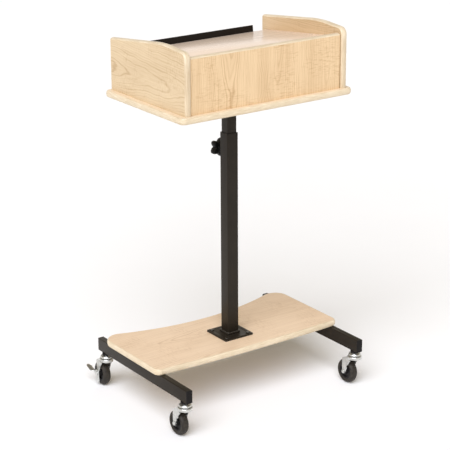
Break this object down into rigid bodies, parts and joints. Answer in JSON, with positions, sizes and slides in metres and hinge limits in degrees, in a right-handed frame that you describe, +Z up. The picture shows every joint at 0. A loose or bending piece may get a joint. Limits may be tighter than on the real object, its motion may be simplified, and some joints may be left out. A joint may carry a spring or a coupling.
{
  "type": "mobile lectern",
  "caption": "Height-adjustable mobile lectern: a sloping worktop in a maple box on a telescoping square column, with a low equipment shelf on swivel casters.",
  "frame": {"origin": "on the floor under the middle of the overall footprint; the column stands 28 mm towards the audience (-Y) from it", "axes": "+Z up from the floor; -Y is the audience side with the front panel, +Y the speaker's side; +X to the right seen from the audience"},
  "size_m": [0.6792, 0.5382, 1.122],
  "materials": {
    "black_steel": "satin brown-black powder coat",
    "maple_board": "maple-grain laminate on board, satin; the worktop glossier",
    "edge_band": "rounded maple-coloured edge band, satin",
    "black_plastic": "moulded, fine texture",
    "black_aluminium": "satin black coated extrusion",
    "zinc_steel": "bright zinc plate",
    "wheel_hub": "moulded",
    "wheel_tyre": "dark grey rubber"
  },
  "bodies": {
    "base": {"left_leg": "black_steel", "right_leg": "black_steel", "leg_end_caps": "black_plastic", "caster_sockets": "black_plastic", "base_shelf": "maple_board", "shelf_edge_trim": "edge_band", "shelf_screws": "zinc_steel", "base_plate": "black_steel", "column_foot_collar": "black_steel", "base_bolts": "black_steel", "base_nuts": "zinc_steel", "backing_plate": "black_steel", "column_outer_tube": "black_steel", "guide_bushing": "black_plastic", "clamp_nut": "black_steel", "caster_ball_sets": "zinc_steel", "front_left_stem": "zinc_steel", "front_right_stem": "zinc_steel", "rear_left_stem": "zinc_steel", "rear_right_stem": "zinc_steel"},
    "lectern_head": {"column_inner_tube": "black_steel", "inner_tube_glide": "black_plastic", "tray_mount_plate": "black_steel", "mount_screws": "zinc_steel", "tray_board": "maple_board", "tray_edge_trim": "edge_band", "left_side_panel": "maple_board", "right_side_panel": "maple_board", "left_panel_trim": "edge_band", "right_panel_trim": "edge_band", "front_panel": "maple_board", "front_panel_trim": "edge_band", "worktop": "maple_board", "worktop_cleats": "maple_board", "book_stop": "black_aluminium", "book_stop_screws": "black_aluminium", "panel_screws": "zinc_steel"},
    "clamp_slide": {"clamp_pad": "black_plastic"},
    "clamp_screw": {"clamp_stud": "zinc_steel", "clamp_knob": "black_plastic"},
    "front_left_swivel": {"front_left_fork": "zinc_steel", "front_left_axle": "zinc_steel"},
    "front_left_wheel": {"front_left_hub": "wheel_hub", "front_left_tyre": "wheel_tyre"},
    "front_right_swivel": {"front_right_fork": "zinc_steel", "front_right_axle": "zinc_steel"},
    "front_right_wheel": {"front_right_hub": "wheel_hub", "front_right_tyre": "wheel_tyre"},
    "rear_left_swivel": {"rear_left_fork": "zinc_steel", "rear_left_axle": "zinc_steel"},
    "rear_left_wheel": {"rear_left_hub": "wheel_hub", "rear_left_tyre": "wheel_tyre"},
    "rear_left_brake": {"rear_left_brake_lever": "zinc_steel"},
    "rear_right_swivel": {"rear_right_fork": "zinc_steel", "rear_right_axle": "zinc_steel"},
    "rear_right_wheel": {"rear_right_hub": "wheel_hub", "rear_right_tyre": "wheel_tyre"},
    "rear_right_brake": {"rear_right_brake_lever": "zinc_steel"}
  },
  "joints": [
    {"name": "column_height", "type": "slide", "parent": "base", "child": "lectern_head", "axis": [0, 0, 1], "range_m": [-0.1, 0.2]},
    {"name": "clamp_travel", "type": "slide", "parent": "base", "child": "clamp_slide", "axis": [0, 1, 0], "range_m": [0, 0.003]},
    {"name": "clamp_turn", "type": "hinge", "parent": "clamp_slide", "child": "clamp_screw", "pos_m": [0, 0.014, 0.751], "axis": [0, 1, 0], "range_deg": [0, 720]},
    {"name": "front_left_swivel_turn", "type": "hinge", "parent": "base", "child": "front_left_swivel", "pos_m": [-0.3119, -0.246, 0.095], "axis": [0, 0, 1], "continuous": true},
    {"name": "front_left_wheel_roll", "type": "hinge", "parent": "front_left_swivel", "child": "front_left_wheel", "pos_m": [-0.3119, -0.214, 0.038], "axis": [1, 0, 0], "continuous": true},
    {"name": "front_right_swivel_turn", "type": "hinge", "parent": "base", "child": "front_right_swivel", "pos_m": [0.3119, -0.246, 0.095], "axis": [0, 0, 1], "continuous": true},
    {"name": "front_right_wheel_roll", "type": "hinge", "parent": "front_right_swivel", "child": "front_right_wheel", "pos_m": [0.3119, -0.214, 0.038], "axis": [1, 0, 0], "continuous": true},
    {"name": "rear_left_swivel_turn", "type": "hinge", "parent": "base", "child": "rear_left_swivel", "pos_m": [-0.3119, 0.183, 0.095], "axis": [0, 0, 1], "continuous": true},
    {"name": "rear_left_wheel_roll", "type": "hinge", "parent": "rear_left_swivel", "child": "rear_left_wheel", "pos_m": [-0.30856, 0.21482, 0.038], "axis": [0.9945, -0.1045, 0], "continuous": true},
    {"name": "rear_left_brake_press", "type": "hinge", "parent": "rear_left_swivel", "child": "rear_left_brake", "pos_m": [-0.30856, 0.21482, 0.038], "axis": [-0.9945, 0.1045, 0], "range_deg": [0, 18]},
    {"name": "rear_right_swivel_turn", "type": "hinge", "parent": "base", "child": "rear_right_swivel", "pos_m": [0.3119, 0.183, 0.095], "axis": [0, 0, 1], "continuous": true},
    {"name": "rear_right_wheel_roll", "type": "hinge", "parent": "rear_right_swivel", "child": "rear_right_wheel", "pos_m": [0.3119, 0.215, 0.038], "axis": [1, 0, 0], "continuous": true},
    {"name": "rear_right_brake_press", "type": "hinge", "parent": "rear_right_swivel", "child": "rear_right_brake", "pos_m": [0.3119, 0.215, 0.038], "axis": [-1, 0, 0], "range_deg": [0, 18]}
  ],
  "couplings": [
    {"joint": "clamp_turn", "follows": "clamp_travel", "rad_per_m": 4188.8}
  ]
}
